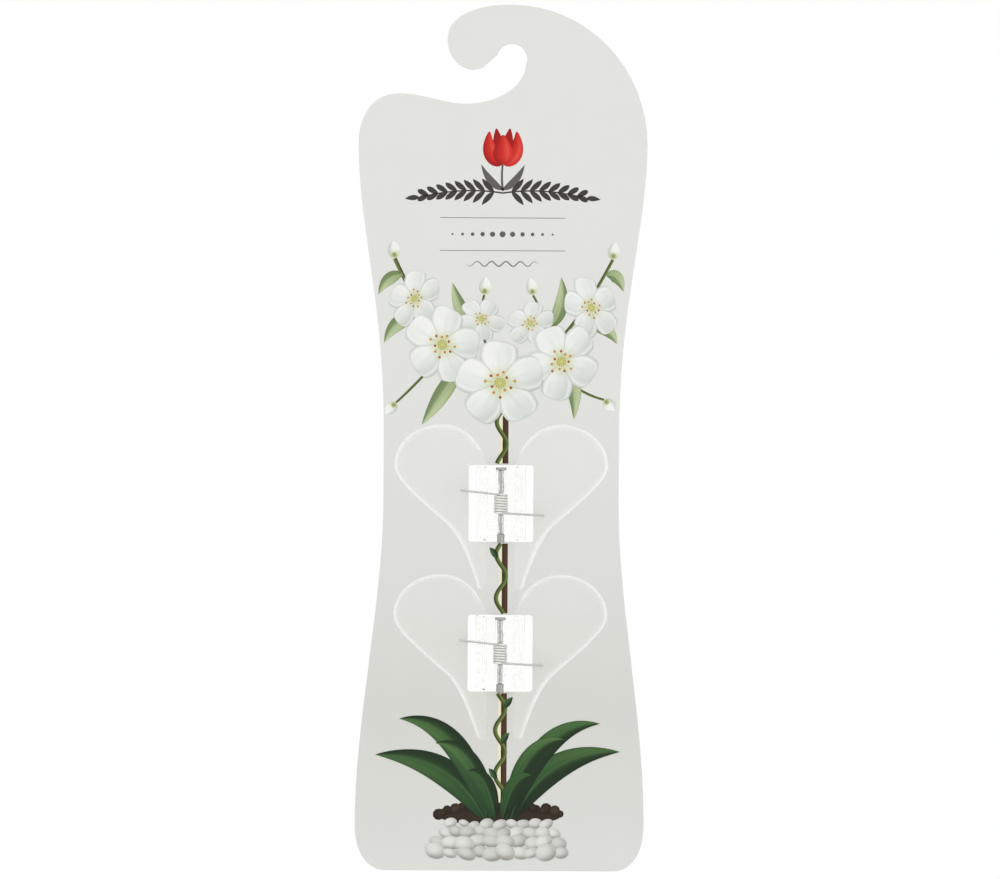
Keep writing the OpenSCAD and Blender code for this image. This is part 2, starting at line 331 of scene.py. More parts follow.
def painted_edge_glint_at(points):
    """How far a wing's rounded edge is whitened, as a painted highlight in place of the bright refraction and
    glints along a clear edge: 0 on the flat of a wing. It rises in step with the way across the front of the
    rounded edge to 1 at the outline, and falls back to 0 round the back of the edge and beside the hinge."""
    depth = points[:, 1] - WING_FRONT
    rise = np.sqrt(1 - (1 - np.clip(depth / FRONT_DEPTH, 0, 1)) ** 2)
    return rise * (1 - eased((depth - FRONT_DEPTH) / EDGE_BACK_R)) * edge_growth(points[:, 0])


def jaw_rings():
    """The jaw: a rounded rectangle carried along a path that runs straight back through the window and then
    round half of the grip's ring, tip to tip with the other jaw."""
    radius = GRIP_R + JAW_T / 2
    neck_x = WING_INNER + JAW_T / 2
    ring_start = -np.degrees(np.arccos(neck_x / radius)) + RING_START_PAST
    ring = [0, GRIP_Y] + radius * toward(np.linspace(ring_start, RING_END, 40))
    neck = np.c_[np.full(12, neck_x), np.linspace(WING_FRONT + NECK_SUNK, ring[0][1] - NECK_TO_RING, 12)]
    path = np.r_[neck, ring]
    step = unit(np.diff(path, axis=0))
    tangent = unit(np.r_[step[:1], unit(step[1:] + step[:-1]), step[-1:]])
    normal = np.c_[tangent[:, 1], -tangent[:, 0]]
    corner, side = round_corners()
    section = side * [JAW_T / 2 - JAW_CORNER, JAW_H / 2 - JAW_CORNER] + JAW_CORNER * corner
    flat = path[:, None] + section[None, :, :1] * normal[:, None]
    height = np.broadcast_to(section[:, 1], flat.shape[:2])
    rings = np.stack([flat[..., 0], flat[..., 1], height], -1)
    # The tip is drawn in over its last rings, so that its edge is round
    tip = rings[-1]
    centre = tip.mean(0)
    onward = np.r_[tangent[-1], 0] * TIP_ROUND
    return np.concatenate([rings, [centre + (tip - centre) * TIP_SHRINK + onward]])


def joined(name, solids, cuts):
    """One closed body: the first solid with the others added, less the cuts, by exact booleans."""
    base = loft(name + "_base", solids[0], [])
    for operation, group in (("UNION", solids[1:]), ("DIFFERENCE", cuts)):
        for k, rings in enumerate(group):
            tool = loft(f"{name}_{operation}_{k}", rings, [])
            change = base.modifiers.new(operation, "BOOLEAN")
            change.operation, change.solver, change.object = operation, "EXACT", tool
    bpy.context.view_layer.update()
    mesh = bpy.data.meshes.new_from_object(base.evaluated_get(bpy.context.evaluated_depsgraph_get()))
    tools = [m.object for m in base.modifiers]
    for extra in [base] + tools:
        bpy.data.objects.remove(extra)
    bm = bmesh.new()
    bm.from_mesh(mesh)
    bmesh.ops.remove_doubles(bm, verts=bm.verts, dist=0.002 * MM)
    bm.to_mesh(mesh)
    bm.free()
    return mesh


def half_mesh(side):
    """A right or left half of a clip in its clip's own frame, as if it were the right one."""
    arms, knuckles = [], []
    for low, high in KNUCKLES[side]:
        arm_low = [ARM_START, WING_FRONT + ARM_SUNK, low + ARM_SHORT]
        arm_high = [WING_INNER + ARM_PAST_EDGE, WING_FRONT + WING_T - ARM_SUNK, high - ARM_SHORT]
        arms.append(rounded_box(arm_low, arm_high, ARM_EDGE, 0))
        knuckles.append(turned(rod_profile(KNUCKLE_R, low, high, TURNED_EDGE)))
    bore = turned([[BORE_R, -JAW_H], [BORE_R, JAW_H]], 40)
    mesh = joined("half_" + side, [wing_rings(), jaw_rings()] + arms + knuckles, [bore])
    middles = np.empty(len(mesh.polygons) * 3)
    mesh.polygons.foreach_get("center", middles)
    jaw = middles[1::3] / MM > WING_FRONT + WING_T + 0.05
    mesh.polygons.foreach_set("material_index", jaw.astype(np.int32))
    # Each point's share of painted highlight on the wing's rounded edge
    points = np.empty(len(mesh.vertices) * 3)
    mesh.vertices.foreach_get("co", points)
    painted_edge_glint = painted_edge_glint_at(points.reshape(-1, 3) / MM).astype(np.float32)
    mesh.attributes.new("painted_edge_glint", "FLOAT", "POINT").data.foreach_set("value", painted_edge_glint)
    return mesh


# Materials

def new_material(name):
    """A material with its node tree and its Principled shader."""
    made = bpy.data.materials.new(name)
    made.use_nodes = True
    return made, made.node_tree, made.node_tree.nodes["Principled BSDF"]


def add(tree, kind, **values):
    """A node with its properties, and its inputs by name or number, set."""
    node = tree.nodes.new("ShaderNode" + kind)
    for key, value in values.pop("inputs", {}).items():
        node.inputs[key].default_value = value
    for key, value in values.items():
        setattr(node, key, value)
    return node


def noise(tree, place, scale, detail=2.0, roughness=0.5):
    node = add(tree, "TexNoise", inputs={"Scale": scale, "Detail": detail, "Roughness": roughness})
    tree.links.new(place, node.inputs["Vector"])
    return node.outputs["Fac"]


def bump(tree, height, shader, strength, distance):
    node = add(tree, "Bump", inputs={"Strength": strength, "Distance": distance})
    tree.links.new(height, node.inputs["Height"])
    tree.links.new(node.outputs["Normal"], shader.inputs["Normal"])


def spread(tree, value, low, high):
    """The value, which runs from 0 to 1, as one that runs from low to high."""
    node = add(tree, "MapRange", inputs={"To Min": low, "To Max": high})
    tree.links.new(value, node.inputs["Value"])
    return node.outputs["Result"]


def tinted(tree, colour, factor):
    """The colour times a grey factor."""
    node = add(tree, "VectorMath", operation="SCALE")
    if isinstance(colour, (tuple, list)):
        node.inputs[0].default_value = colour[:3]
    else:
        tree.links.new(colour, node.inputs[0])
    tree.links.new(factor, node.inputs["Scale"])
    return node.outputs["Vector"]


def coated_card():
    """The card's printed front: pale warm grey, darkest a fifth of the way up, under a satin coat."""
    made, tree, shader = new_material("coated_card")
    place = add(tree, "TexCoord").outputs["Object"]
    height = add(tree, "SeparateXYZ")
    tree.links.new(place, height.inputs[0])
    share = add(tree, "MapRange", inputs={"From Min": CARD_FOOT * MM, "From Max": 0.0})
    tree.links.new(height.outputs["Z"], share.inputs["Value"])
    ramp = add(tree, "ValToRGB")
    tones = ((0.0, (217, 218, 213)), (0.2, (210, 211, 204)), (0.36, (217, 218, 213)),
             (0.6, (223, 224, 219)), (1.0, (225, 225, 222)))
    for k, (at, tone) in enumerate(tones):
        stop = ramp.color_ramp.elements[k] if k < 2 else ramp.color_ramp.elements.new(at)
        stop.position, stop.color = at, rgba(seen(*tone))
    tree.links.new(share.outputs["Result"], ramp.inputs["Fac"])
    mottle = spread(tree, noise(tree, place, 90, 4), 0.985, 1.01)
    tree.links.new(tinted(tree, ramp.outputs["Color"], mottle), shader.inputs["Base Color"])
    tree.links.new(spread(tree, noise(tree, place, 700, 3), 0.36, 0.5), shader.inputs["Roughness"])
    bump(tree, noise(tree, place, 1800, 3), shader, 0.05, 0.02 * MM)
    shader.inputs["Specular IOR Level"].default_value = 0.35
    return made


def raw_board():
    """The card's back and its cut edges: uncoated board, a little cloudy, with visible upright fibres."""
    made, tree, shader = new_material("raw_board")
    place = add(tree, "TexCoord").outputs["Object"]
    fibres = add(tree, "Mapping", inputs={"Scale": (1, 1, 0.18)})
    tree.links.new(place, fibres.inputs["Vector"])
    strands = noise(tree, fibres.outputs["Vector"], 2600, 5, 0.7)
    board = rgba(seen(224, 222, 214))
    cloudy = tinted(tree, board, spread(tree, noise(tree, place, 240, 3), 0.95, 1.04))
    tree.links.new(tinted(tree, cloudy, spread(tree, strands, 0.8, 1.15)), shader.inputs["Base Color"])
    shader.inputs["Roughness"].default_value = 0.85
    shader.inputs["Specular IOR Level"].default_value = 0.2
    bump(tree, strands, shader, 0.25, 0.03 * MM)
    return made


def print_ink():
    """Printed ink: each point's own colour, with fine veins along a petal or leaf."""
    made, tree, shader = new_material("print_ink")
    colour = add(tree, "Attribute", attribute_name="ink")
    surface = add(tree, "UVMap", uv_map="Surface")
    stretched = add(tree, "Mapping", inputs={"Scale": (2.2, 26, 1)})
    tree.links.new(surface.outputs["UV"], stretched.inputs["Vector"])
    veins = spread(tree, noise(tree, stretched.outputs["Vector"], 1.0, 3), 0.93, 1.07)
    tree.links.new(tinted(tree, colour.outputs["Color"], veins), shader.inputs["Base Color"])
    shader.inputs["Roughness"].default_value = 0.5
    shader.inputs["Specular IOR Level"].default_value = 0.2
    return made


def clear_plastic(name, ior, clearness, ripple):
    """Clear moulded plastic with faint flow ripples and a trace of haze. It is whiter and less clear where
    the edge attribute is high, which is a painted highlight along the rounded edges. Rays from lamps and from
    matt surfaces go straight through it, so what it covers stays as light."""
    made, tree, shader = new_material(name)
    shader.inputs["Base Color"].default_value = rgba(seen(255, 255, 254))
    shader.inputs["IOR"].default_value = ior
    # Less clear, whiter plastic towards the outline: a painted highlight in place of the edge's refraction
    # and glints
    painted_edge_glint = add(tree, "Attribute", attribute_name="painted_edge_glint").outputs["Fac"]
    tree.links.new(spread(tree, painted_edge_glint, clearness, PAINTED_GLINT_CLEARNESS), shader.inputs["Transmission Weight"])
    place = add(tree, "TexCoord").outputs["Object"]
    tree.links.new(spread(tree, noise(tree, place, 160, 3), 0.0, 0.05), shader.inputs["Roughness"])
    if ripple:
        bump(tree, noise(tree, place, 110, 1), shader, ripple, 0.2 * MM)
    through = add(tree, "BsdfTransparent")
    rays = add(tree, "LightPath")
    surface = shader.outputs["BSDF"]
    for kind in ("Is Shadow Ray", "Is Diffuse Ray"):
        mix = add(tree, "MixShader")
        tree.links.new(rays.outputs[kind], mix.inputs["Fac"])
        tree.links.new(surface, mix.inputs[1])
        tree.links.new(through.outputs["BSDF"], mix.inputs[2])
        surface = mix.outputs["Shader"]
    tree.links.new(surface, tree.nodes["Material Output"].inputs["Surface"])
    return made


def steel(name, colour, roughness, grain):
    """Drawn or turned steel. The grain says how much finer its scratches are along x, y and z."""
    made, tree, shader = new_material(name)
    place = add(tree, "TexCoord").outputs["Object"]
    lines = add(tree, "Mapping", inputs={"Scale": grain})
    tree.links.new(place, lines.inputs["Vector"])
    scratch = noise(tree, lines.outputs["Vector"], 900, 4, 0.7)
    tree.links.new(tinted(tree, rgba(colour), spread(tree, scratch, 0.85, 1.1)), shader.inputs["Base Color"])
    tree.links.new(spread(tree, scratch, roughness - 0.08, roughness + 0.12), shader.inputs["Roughness"])
    shader.inputs["Metallic"].default_value = 1.0
    bump(tree, scratch, shader, 0.15, 0.02 * MM)
    return made


CARD_COAT = coated_card()
BOARD = raw_board()
INK = print_ink()
# Clearness at a wing's outline, where the whitening is a painted highlight
PAINTED_GLINT_CLEARNESS = 0.25
CLEAR = clear_plastic("clear_wing", 1.33, 0.96, 0.04)
CLEAR_JAW = clear_plastic("clear_jaw", 1.14, 0.97, 0)
PIN_STEEL = steel("turned_steel", seen(168, 168, 164), 0.34, (1, 1, 9))
# The spring's coil and legs are one wire: the coil's lighter colour is painted highlight that also evens out
# the shade between its turns, and the legs' darker colour is painted shade
COIL_STEEL_PAINTED_HIGHLIGHT = steel("drawn_steel", seen(230, 231, 225), 0.42, (1, 1, 3))
LEG_STEEL_PAINTED_SHADE = steel("drawn_steel_leg_painted_shade", seen(201, 201, 196), 0.34, (3, 1, 1))


# The card

def dress_card():
    """The CAD card with its doubles merged and its rim rounded. The front is coated, the rest raw board."""
    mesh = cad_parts["card"].data.copy()
    mesh.name = "hang_card"
    mesh.materials.clear()
    bm = bmesh.new()
    bm.from_mesh(mesh)
    bmesh.ops.remove_doubles(bm, verts=bm.verts, dist=0.001 * MM)
    bmesh.ops.dissolve_limit(bm, angle_limit=math.radians(0.5), verts=bm.verts, edges=bm.edges)
    rim = [e for e in bm.edges
           if e.calc_face_angle(0) > 1 and any(abs(f.normal.y) > 0.9 for f in e.link_faces)]
    bmesh.ops.bevel(bm, geom=rim, offset=CARD_EDGE_R * MM, segments=2, profile=0.5, affect="EDGES")
    bmesh.ops.recalc_face_normals(bm, faces=bm.faces)
    for face in bm.faces:
        face.material_index = 0 if face.normal.y < -0.5 else 1
    bm.to_mesh(mesh)
    bm.free()
    piece = finish_mesh("hang_card", mesh, [CARD_COAT, BOARD], 15)
    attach(piece, "card")
    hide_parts("card")


# The print on the card: thin films of ink, each a closed slab that rises a little over the one below

INK_T = 0.02
INK_STEP = 0.005
SUNK = 0.01
LEVELS_A_BLOSSOM = 8
STAMENS = 11
RULES = (-39.7, -47.9)
RULE_HALF = 15.6
WAVE_HALF = 9
WAVE_LENGTH = 3.6
SPRIG_Z = -33.5
TULIP_Z = -26.0
WAVE_Z = -51.2
WINDOW_H = 19.2
WINDOW_MARGIN = 0.4
VINE_PITCH = 11.0
CANE_TOP = -86.0
CANE_ASIDE = 1.05
ROOT_Z = -189.0


class Print:
    """Gathers patches of ink into one mesh."""

    def __init__(self):
        self.points, self.faces, self.uv, self.ink, self.count = [], [], [], [], 0

    def put(self, rings, uv, ink):
        count, around, _ = rings.shape
        self.faces += loft_faces(count, around, self.count)
        self.points.append(rings.reshape(-1, 3))
        self.uv.append(uv.reshape(-1, 2))
        self.ink.append(np.clip(ink, 0.002, 0.95).reshape(-1, 3))
        self.count += count * around

    def finish(self, name):
        piece = make_piece(name, np.concatenate(self.points), self.faces, [INK], smooth_under=None,
                           uv=np.concatenate(self.uv), ink=np.concatenate(self.ink))
        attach(piece, "card")


def bend(start, pull, end, count=24, steps=None):
    """Points of a quadratic curve as rows of x and z, evenly spaced or at the given steps from 0 to 1."""
    t = (np.linspace(0, 1, count) if steps is None else steps)[:, None]
    start, pull, end = (np.array(p, float) for p in (start, pull, end))
    return (1 - t) ** 2 * start + 2 * t * (1 - t) * pull + t * t * end


def blade(path, half_width, colour, level=0, across=9, shape=None, steps=None):
    """A patch along a path of x and z. Its half width is a function of s, which runs from 0 to 1 along it,
    and its colour one of s and t, which runs from -1 to 1 across it. shape moves the finished points on the
    card, and steps are the path's own values of s."""
    s = np.linspace(0, 1, len(path)) if steps is None else steps
    t = np.linspace(-1, 1, across)
    step = unit(np.gradient(path, axis=0))
    side = np.c_[-step[:, 1], step[:, 0]]
    half = np.maximum(half_width(s), 0.03)[:, None, None]
    t_round = np.r_[t, 1, -1]
    flat = path[:, None] + half * t_round[None, :, None] * side[:, None]
    if shape is not None:
        flat = shape(flat)
    front = CARD_FRONT - INK_T - level * INK_STEP
    depth = np.r_[np.full(across, front), CARD_FRONT + SUNK, CARD_FRONT + SUNK]
    depth = np.broadcast_to(depth, flat.shape[:2])
    grid_s, grid_t = np.meshgrid(s, t_round, indexing="ij")
    return (np.stack([flat[..., 0], depth, flat[..., 1]], -1),
            np.stack([grid_s, grid_t / 2 + 0.5], -1), colour(grid_s, grid_t))


def dot(centre, radius, colour, level=0, around=20, rings=5, shape=None, squash=1.0, turn=0.0):
    """A round patch. Its colour is a function of the share r of its radius, and of x and z, which run from
    -1 to 1 in it."""
    a = np.linspace(0, 360, around, endpoint=False)
    r = np.r_[1, np.linspace(1, 0.04, rings)]
    local = r[:, None, None] * toward(a)[None]
    tilt = toward(turn)
    oval = np.stack([local[..., 0], local[..., 1] * squash], -1)
    flat = radius * np.stack([oval[..., 0] * tilt[0] - oval[..., 1] * tilt[1],
                              oval[..., 0] * tilt[1] + oval[..., 1] * tilt[0]], -1) + np.array(centre)
    if shape is not None:
        flat = shape(flat)
    front = CARD_FRONT - INK_T - level * INK_STEP
    depth = np.broadcast_to(np.r_[CARD_FRONT + SUNK, np.full(rings, front)][:, None], flat.shape[:2])
    grid_r = np.broadcast_to(r[:, None], flat.shape[:2])
    return (np.stack([flat[..., 0], depth, flat[..., 1]], -1), local / 2 + 0.5,
            colour(grid_r, local[..., 0], local[..., 1]))


def plain(colour):
    """One colour all over a blade or a dot."""
    return lambda a, b, c=None: np.broadcast_to(colour, (*np.shape(a), 3))


def mixed(a, b, share):
    """Colour a where share is 0 and b where it is 1."""
    share = np.clip(share, 0, 1)[..., None]
    return np.asarray(a) * (1 - share) + np.asarray(b) * share


LIGHT_FROM = np.array([-0.6, 0.8])
WHITE = seen(240, 241, 238)
PETAL_SHADE = seen(186, 194, 186)
PETAL_BASE = seen(200, 207, 158)
EYE = seen(214, 208, 130)
EYE_RIM = seen(150, 160, 80)
THREAD = seen(214, 205, 150)
ANTHERS = (seen(196, 140, 50), seen(158, 84, 38))
STEM = seen(104, 121, 62)
STEM_DARK = seen(62, 70, 28)
CANE = seen(74, 52, 34)
CANE_DARK = seen(40, 26, 18)
CREAM = seen(232, 226, 196)
BROAD_LEAF = (seen(42, 74, 42), seen(24, 38, 22), seen(78, 112, 62))
SAGE_LEAF = (seen(150, 166, 122), seen(106, 126, 82), seen(190, 203, 160))
GREY_PRINT = seen(96, 94, 92)
DARK_PRINT = seen(62, 60, 58)
EARTH = seen(50, 40, 30)
STONE = seen(188, 188, 181)
STONE_LIGHT = seen(224, 224, 219)
STONE_DARK = seen(128, 126, 118)
RULE = seen(150, 148, 145)
RED = seen(206, 44, 36)
RED_DARK = seen(158, 24, 22)
RED_LIGHT = seen(228, 92, 78)


def petal_colour(tint, ahead):
    """A pale petal: cool on the side away from the light, greenish at its foot, with a thin light rim."""
    turned_away = ahead[1] * LIGHT_FROM[0] - ahead[0] * LIGHT_FROM[1]
    dim = 0.22 - 0.22 * (ahead @ LIGHT_FROM)

    def colour(s, t):
        rim = np.abs(t)
        shade = dim * eased(s) + 0.62 * eased((turned_away * t + 0.3) / 1.3)
        edge = 0.6 * eased((rim - 0.9) / 0.1) + 0.3 * eased((s - 0.95) / 0.05)
        body = mixed(WHITE * tint, PETAL_SHADE * tint, shade)
        body = mixed(body, PETAL_BASE, 0.75 * eased((0.45 - s) / 0.4))
        body = mixed(body, PETAL_SHADE, 0.35 * np.exp(-(t / 0.1) ** 2) * (1 - s))
        body = mixed(body, WHITE, 0.7 * np.exp(-((rim - 0.83) / 0.08) ** 2) * eased(s * 2))
        return mixed(body, PETAL_SHADE * 0.84, edge)
    return colour


# Rows along a petal lie closer towards its tip, whose last share is rounded
PETAL_ROWS = np.sin(np.linspace(0, np.pi / 2, 26))
PETAL_TIP = 0.26


def petal_width(size):
    """Half the width of a petal: a sine that leans outward, closed at the tip by a flat round."""
    def half(s):
        body = 0.05 + 0.52 * np.sin(np.pi * s ** 0.95 * 0.93) ** 0.8 * (0.35 + 0.65 * s)
        past = np.clip((s - 1 + PETAL_TIP) / PETAL_TIP, 0, 1)
        return size * (body + 0.1 * past) * np.sqrt(1 - past ** 4)
    return half


def tilted(centre, squash, turn):
    """A flat shape seen at a slant: drawn in towards a line through its centre."""
    along = toward(turn)
    matrix = np.outer(along, along) * squash + (np.eye(2) - np.outer(along, along))
    return lambda flat: (flat - centre) @ matrix + centre


def blossom(art, centre, size, turn, squash, slant, tint, tier, petals=5):
    """An open flower of broad petals that overlap in order, with a green eye and a ring of stamens."""
    centre = np.array(centre, float)
    shape = tilted(centre, squash, slant)
    for k in range(petals):
        angle = turn + 360 * k / petals
        ahead, aside = toward(angle), toward(angle + 90)
        path = bend(centre + 0.04 * size * ahead, centre + 0.55 * size * ahead + 0.06 * size * aside,
                    centre + size * ahead, steps=PETAL_ROWS)
        tone = petal_colour(tint, ahead)
        art.put(*blade(path, petal_width(size), tone, tier * LEVELS_A_BLOSSOM + k, 11, shape, PETAL_ROWS))
    top = tier * LEVELS_A_BLOSSOM + petals
    art.put(*dot(centre, 0.13 * size, lambda r, x, z: mixed(EYE, EYE_RIM, r), top, shape=shape))
    for k in range(STAMENS):
        spoke = toward(turn + 17 + 360 * k / STAMENS)
        reach = size * (0.2 + 0.07 * (k % 3))
        thread = bend(centre + 0.08 * size * spoke, centre + 0.5 * reach * spoke, centre + reach * spoke, 4)
        art.put(*blade(thread, lambda s: 0.013 * size + 0 * s, plain(THREAD), top + 1, 3, shape))
        art.put(*dot(centre + reach * spoke, 0.035 * size, plain(ANTHERS[k % 2]), top + 2, 8, 2, shape))


def bud(art, foot, tip, width, tier=0):
    """A closed bud on its short stalk."""
    middle = (np.array(foot, float) + tip) / 2
    body = lambda s, t: mixed(mixed(PETAL_BASE, WHITE, eased(s * 1.6)), PETAL_SHADE, 0.8 * eased(t))
    half = lambda s: width * np.sin(np.pi * s ** 0.8) ** 0.7
    art.put(*blade(bend(foot, middle, tip, 14), half, body, tier + 2, 9))
    sepal = foot + 0.2 * (np.array(tip) - foot)
    art.put(*dot(sepal, 0.55 * width, lambda r, x, z: mixed(STEM, PETAL_BASE, r), tier + 3, 12, 3))


def leaf_colour(tones, light):
    """A folded leaf: one half dark, the other lit along its middle, with a light midrib."""
    middle, dark, pale = tones

    def colour(s, t):
        body = mixed(middle, dark, 0.8 * eased((0.06 - t) / 0.35) + 0.5 * eased((0.2 - s) / 0.2))
        body = mixed(body, pale, light * eased((s - 0.2) / 0.6) * eased((t + 0.7) / 1.2))
        body = mixed(body, pale, 0.45 * light * np.exp(-((t - 0.5) / 0.2) ** 2) * np.sin(np.pi * s) ** 2)
        body = mixed(body, dark, 0.5 * eased((np.abs(t) - 0.82) / 0.18))
        return mixed(body, pale, 0.5 * np.exp(-(t / 0.055) ** 2) * (1 - s * 0.7))
    return colour


def leaf(art, foot, pull, tip, width, light, level, count=30, tones=BROAD_LEAF, colour=None):
    """A pointed leaf, widest past its middle, with a light midrib unless it has one colour all over."""
    half = lambda s: width * (0.16 * (1 - s) + np.sin(np.pi * s ** 0.85) ** 0.85)
    tone = leaf_colour(tones, light) if colour is None else plain(colour)
    art.put(*blade(bend(foot, pull, tip, count), half, tone, level, 13 if colour is None else 5))


def stem(art, points, half, level=0, colour=None):
    """A thin twig, light along one side."""
    tone = colour or (lambda s, t: mixed(STEM, STEM_DARK, eased(t * 0.9 + 0.35)))
    art.put(*blade(np.asarray(points), lambda s: half * (1 - 0.25 * s), tone, level, 5))


def tulip(art, foot):
    """A small red tulip: two dark petals behind, one on each side and one in front, on a stalk with two
    leaves."""
    foot = np.array(foot, float)
    cup = lambda s, t: mixed(mixed(RED, RED_DARK, 0.9 * eased(t * 0.9 + 0.1) + 0.5 * eased((0.3 - s) / 0.3)),
                             RED_LIGHT, 0.7 * np.exp(-((t + 0.45) / 0.25) ** 2) * np.sin(np.pi * s))
    belly = lambda width: lambda s: width * np.sin(np.pi * (0.06 + 0.92 * s ** 0.75)) ** 0.8
    stem(art, bend(foot - [0, 7], foot - [0.5, 3], foot, 8), 0.3, 0, plain(GREY_PRINT))
    for side in (-1, 1):
        leaf(art, foot - [0, 6.6], foot + [side * 3.4, -5.2], foot + [side * 5.4, -0.4], 0.85, 0, 0, 14,
             colour=GREY_PRINT)
        behind = bend(foot, foot + [side * 1.2, 4], foot + [side * 1.7, 8.6], 14)
        beside = bend(foot, foot + [side * 4.4, 1.6], foot + [side * 3.4, 7.8], 18)
        art.put(*blade(behind, belly(1.6), plain(RED_DARK), 1, 7))
        art.put(*blade(beside, belly(2.0), cup, 2 + (side > 0), 9))
    art.put(*blade(bend(foot + [0, -0.2], foot + [0, 3], foot + [0, 7.0], 18), belly(2.5), cup, 4, 9))


def ornament(art):
    """The heading: a red tulip over a leafy sprig, a row of dots between two thin rules, and a small wave."""
    left, right = MIDDLE_X - RULE_HALF, MIDDLE_X + RULE_HALF
    for z in RULES:
        art.put(*blade(np.linspace([left, z], [right, z], 3), lambda s: 0.1 + 0 * s, plain(RULE), 0, 3))
    for k in range(-5, 6):
        art.put(*dot([MIDDLE_X + 2.5 * k, sum(RULES) / 2], 0.75 - 0.1 * abs(k), plain(GREY_PRINT), 0, 16, 2))
    x = np.linspace(-WAVE_HALF, WAVE_HALF, 90)
    wave = np.c_[MIDDLE_X + x, WAVE_Z + 0.6 * np.sin(x * 2 * np.pi / WAVE_LENGTH)]
    art.put(*blade(wave, lambda s: 0.17 * np.sin(np.pi * s) ** 0.5, plain(RULE * 0.7), 0, 3))
    for side in (-1, 1):
        middle = np.array([MIDDLE_X, SPRIG_Z])
        twig = bend(middle, middle + [side * 10, 1.6], middle + [side * 21, -1.2], 28)
        stem(art, twig, 0.2, 0, plain(DARK_PRINT))
        for k in range(8):
            at = twig[3 + 3 * k]
            lean = 48 - 3 * k
            for up in (1, -1):
                ahead = toward(up * lean) * [side, 1]
                tip = at + (4.4 - 0.2 * k) * ahead
                leaf(art, at, at + 2.4 * ahead + [side * 0.3, 0], tip, 0.62, 0, 1, 12, colour=DARK_PRINT)
        end = twig[-1]
        leaf(art, end, end + [side * 1.5, 0], end + [side * 3.4, -0.3], 0.6, 0, 1, 12, colour=DARK_PRINT)
    tulip(art, [MIDDLE_X, TULIP_Z])


def garland(art):
    """A hanging curve of open blossoms with leaves and buds between them."""
    bow = bend([-29, -50], [MIDDLE_X - 1, -106], [25.5, -50], 60)
    stem(art, bow, 0.5)
    twigs = (((-16, -73), (-24, -82), (-28.5, -86)), ((8, -76), (18, -84), (23.5, -85)),
             ((-3, -78), (-9, -68), (-6.6, -59)), ((9, -76), (10, -66), (5.6, -59)))
    for twig in twigs:
        stem(art, bend(*twig, 16), 0.36)
    for foot, pull, tip, width in (
            ((-12, -76), (-17, -84), (-22, -91.5), 1.9), ((-23, -64), (-29, -65), (-31.5, -71), 1.7),
            ((13, -73), (17, -80), (16, -90), 1.9), ((19, -66), (24.5, -66), (26.6, -71), 1.6),
            ((-27, -54), (-31, -54), (-33, -59), 1.4), ((24, -54), (27, -53), (28.2, -58), 1.4),
            ((-9, -68), (-13, -63), (-14.5, -56), 1.6), ((10, -67), (14, -62), (12.6, -54.5), 1.6)):
        leaf(art, foot, pull, tip, width, 0.8, 1, 20, SAGE_LEAF)
    for foot, tip, width in (((-29, -50), (-29.5, -45.5), 1.5), ((25.5, -50), (26, -45.5), 1.5),
                             ((-6.6, -59), (-6.2, -54.4), 1.5), ((5.6, -59), (4.8, -54.6), 1.4),
                             ((-28.5, -86), (-31, -89), 1.4), ((23.5, -85), (26.4, -87.6), 1.4)):
        bud(art, foot, tip, width)
    for centre, size, turn, squash, slant, tint, tier in (
            ((-24, -60), 7.4, 20, 0.8, 150, 0.96, 1), ((20.2, -62), 8.0, 100, 0.78, 30, 0.96, 1),
            ((-7.2, -65), 5.8, 55, 0.85, 60, 0.93, 1), ((5.0, -66), 6.0, 10, 0.85, 120, 0.93, 1),
            ((-17, -71.5), 9.8, 75, 0.92, 30, 1.0, 2), ((12.8, -75.5), 9.8, 45, 0.9, 150, 0.98, 2),
            ((-2.5, -81), 11.0, 90, 0.95, 90, 1.0, 3)):
        blossom(art, centre, size, turn, squash, slant, tint, tier)


def climber(art):
    """A dark cane with a green vine wound about it, which stops short of each window."""
    bark = lambda s, t: mixed(CANE, CANE_DARK, eased(-t))
    green = lambda s, t: mixed(STEM, STEM_DARK, eased(0.5 - t))
    half_gap = WINDOW_H / 2 + WINDOW_MARGIN
    edges = [CANE_TOP]
    for clip in CLIPS:
        edges += [HINGE[clip][2] + half_gap, HINGE[clip][2] - half_gap]
    edges.append(ROOT_Z)
    for high, low in zip(edges[::2], edges[1::2]):
        z = np.linspace(high, low, int((high - low) * 2.5))
        cane = np.c_[np.full(len(z), MIDDLE_X + CANE_ASIDE), z]
        art.put(*blade(cane, lambda s: 0.72 + 0 * s, bark, 1, 7))
        art.put(*blade(cane - [CANE_ASIDE, 0], lambda s: 0.38 + 0 * s, plain(CREAM), 0, 3))
        vine = np.c_[MIDDLE_X + 0.1 + 1.25 * np.sin(z * 2 * np.pi / VINE_PITCH), z]
        art.put(*blade(vine, lambda s: 0.52 + 0 * s, green, 2, 7))
        for at in vine[9::22]:
            if at[1] - low > 6:
                out = 1 if at[0] > MIDDLE_X else -1
                leaf(art, at, at + [0.7 * out, 1.7], at + [1.9 * out, 2.7], 0.7, 0.6, 3, 12)


